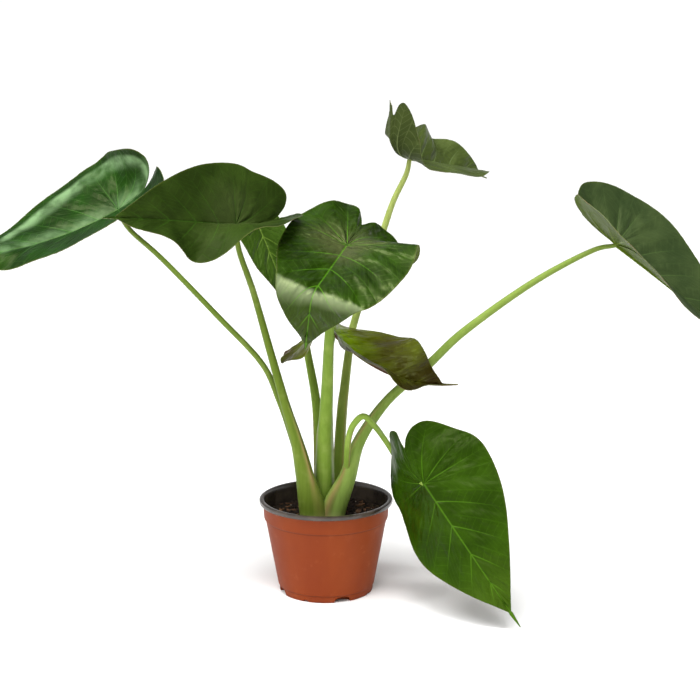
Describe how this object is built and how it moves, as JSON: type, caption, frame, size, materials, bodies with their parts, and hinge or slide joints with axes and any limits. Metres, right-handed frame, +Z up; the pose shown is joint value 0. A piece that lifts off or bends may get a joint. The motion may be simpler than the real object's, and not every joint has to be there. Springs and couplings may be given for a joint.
{
  "type": "potted plant",
  "caption": "Alocasia wentii with large glossy arrow-shaped leaves on long stalks, in a terracotta-coloured plastic nursery pot.",
  "frame": {"origin": "centre of the pot's underside, on the surface it stands on", "axes": "+Z up, +X to the right and +Y away from the viewer in the picture's view; the plant is widest along X"},
  "size_m": [0.8604, 0.3706, 0.5529],
  "materials": {
    "pot": "satin",
    "potting_mix": "rough, crumbly",
    "corm": "rough",
    "petiole": "satin, smooth",
    "leaf": "glossy above, matt below",
    "young_leaf": "glossy"
  },
  "bodies": {
    "root": {"pot": "pot", "potting_mix": "potting_mix", "corm": "corm", "petiole_1": "petiole", "petiole_2": "petiole", "petiole_3": "petiole", "petiole_4": "petiole", "petiole_5": "petiole", "petiole_6": "petiole", "petiole_7": "petiole", "petiole_8": "petiole", "leaf_blade_1": "leaf", "leaf_blade_2": "leaf", "leaf_blade_3": "leaf", "leaf_blade_4": "leaf", "leaf_blade_5": "young_leaf", "leaf_blade_6": "leaf", "leaf_blade_7": "leaf", "leaf_blade_8": "leaf"}
  },
  "joints": []
}
